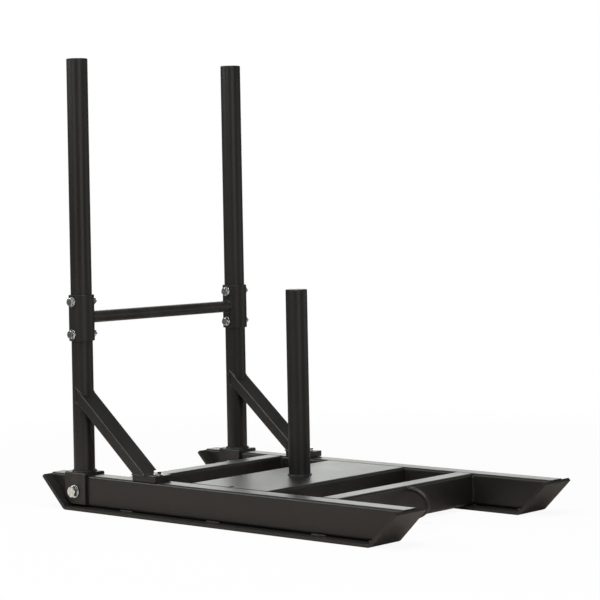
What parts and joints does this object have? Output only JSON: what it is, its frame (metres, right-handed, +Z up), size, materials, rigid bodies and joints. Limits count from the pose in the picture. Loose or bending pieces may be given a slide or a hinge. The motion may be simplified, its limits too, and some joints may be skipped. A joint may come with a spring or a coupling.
{
  "type": "push sled",
  "caption": "Steel push sled: two upturned skids, cross frame with a folded deck and weight plate post, bolted push poles with braces, and a tow loop at the front.",
  "frame": {"origin": "on the floor, midway between the two skids and between their front and rear tips", "axes": "+Z up, -Y the way the sled is pushed, +Y towards the pusher, -X the pusher's right"},
  "size_m": [0.628, 1.0692, 1.0561],
  "materials": {
    "frame_coat": "satin black powder coat",
    "cap_plastic": "black moulded plastic",
    "zinc_plate": "bright zinc plate"
  },
  "bodies": {
    "root": {"right_skid": "frame_coat", "right_runner": "frame_coat", "right_saddle": "frame_coat", "right_brace": "frame_coat", "right_brace_foot": "frame_coat", "right_saddle_bolt": "zinc_plate", "right_saddle_head_washer": "zinc_plate", "right_saddle_nut": "zinc_plate", "right_saddle_nut_washer": "zinc_plate", "right_foot_bolt": "zinc_plate", "right_foot_washer": "zinc_plate", "right_foot_nut": "zinc_plate", "right_lower_upright": "frame_coat", "right_sleeve": "frame_coat", "right_push_pole": "frame_coat", "right_pole_cap": "cap_plastic", "right_sleeve_upper_bolt": "zinc_plate", "right_sleeve_upper_head_washer": "zinc_plate", "right_sleeve_upper_nut": "zinc_plate", "right_sleeve_lower_bolt": "zinc_plate", "right_sleeve_lower_head_washer": "zinc_plate", "right_sleeve_lower_nut": "zinc_plate", "left_skid": "frame_coat", "left_runner": "frame_coat", "left_saddle": "frame_coat", "left_brace": "frame_coat", "left_brace_foot": "frame_coat", "left_saddle_bolt": "zinc_plate", "left_saddle_head_washer": "zinc_plate", "left_saddle_nut": "zinc_plate", "left_saddle_nut_washer": "zinc_plate", "left_foot_bolt": "zinc_plate", "left_foot_washer": "zinc_plate", "left_foot_nut": "zinc_plate", "left_lower_upright": "frame_coat", "left_sleeve": "frame_coat", "left_push_pole": "frame_coat", "left_pole_cap": "cap_plastic", "left_sleeve_upper_bolt": "zinc_plate", "left_sleeve_upper_head_washer": "zinc_plate", "left_sleeve_upper_nut": "zinc_plate", "left_sleeve_lower_bolt": "zinc_plate", "left_sleeve_lower_head_washer": "zinc_plate", "left_sleeve_lower_nut": "zinc_plate", "front_crossbar": "frame_coat", "rear_crossbar": "frame_coat", "deck_plate": "frame_coat", "weight_post": "frame_coat", "post_cap": "cap_plastic", "tow_loop": "frame_coat", "push_crossbar": "frame_coat"}
  },
  "joints": []
}
